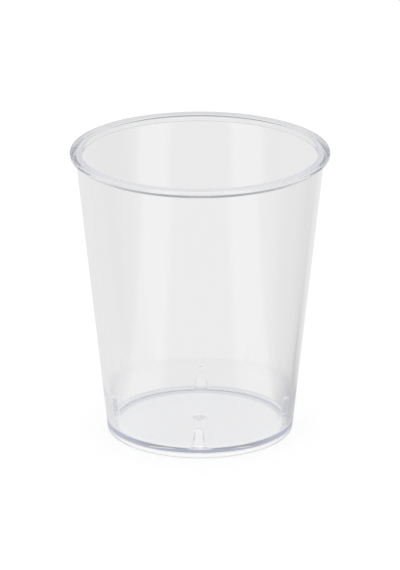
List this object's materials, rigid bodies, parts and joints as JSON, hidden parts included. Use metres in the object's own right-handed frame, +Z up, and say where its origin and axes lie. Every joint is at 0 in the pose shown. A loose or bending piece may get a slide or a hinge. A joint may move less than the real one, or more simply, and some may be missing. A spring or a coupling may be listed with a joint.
{
  "type": "shot glass",
  "caption": "Clear moulded plastic shot glass: a tapered cup with a rounded rim bead, a recessed base and stacking lugs inside the foot",
  "frame": {"origin": "centre of the base, on the plane of the ring that the glass stands on", "axes": "+Z up along the axis of the cup; the four stacking lugs lie on +X, -X, +Y and -Y"},
  "size_m": [0.042, 0.042, 0.0474],
  "materials": {
    "clear_polystyrene": "water-clear injection-moulded polystyrene, polished on every face"
  },
  "bodies": {
    "root": {"shot_glass": "clear_polystyrene"}
  },
  "joints": []
}
